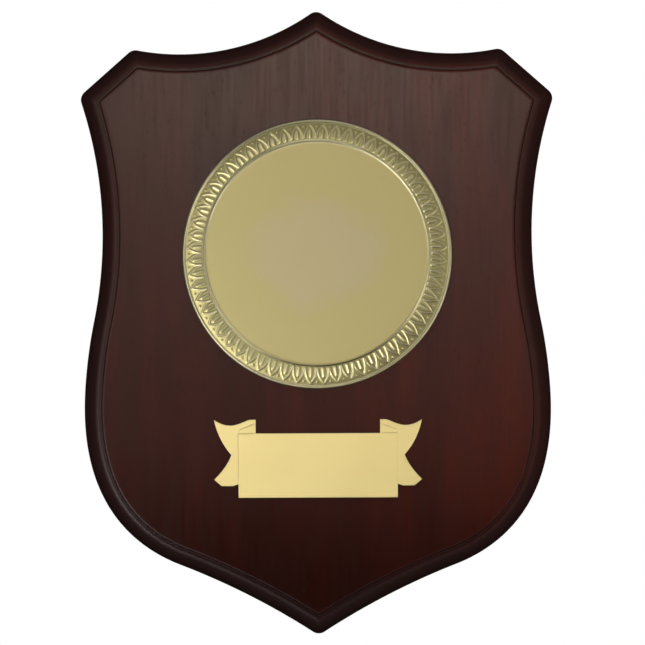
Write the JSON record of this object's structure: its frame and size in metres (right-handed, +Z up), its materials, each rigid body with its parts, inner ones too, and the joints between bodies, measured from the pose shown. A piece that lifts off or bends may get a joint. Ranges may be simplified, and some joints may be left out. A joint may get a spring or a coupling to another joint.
{
  "type": "wooden shield plaque",
  "caption": "Moulded wooden shield wall plaque with a round gold metal disc, bordered with small leaves, and a blank gold ribbon scroll plate below it.",
  "frame": {"origin": "middle of the flat back, where the board rests on the wall", "axes": "+Y out of the back, into the wall; +Z up, along the shield's height; +X to the right seen from the front, which faces -Y"},
  "size_m": [0.1782, 0.0184, 0.2352],
  "materials": {
    "lacquered_wood": "dark red-brown mahogany, satin lacquer",
    "satin_gold": "satin gold, stamped",
    "pale_gold": "pale satin gold"
  },
  "bodies": {
    "root": {"shield_board": "lacquered_wood", "border_disc": "satin_gold", "scroll_plate": "pale_gold"}
  },
  "joints": []
}
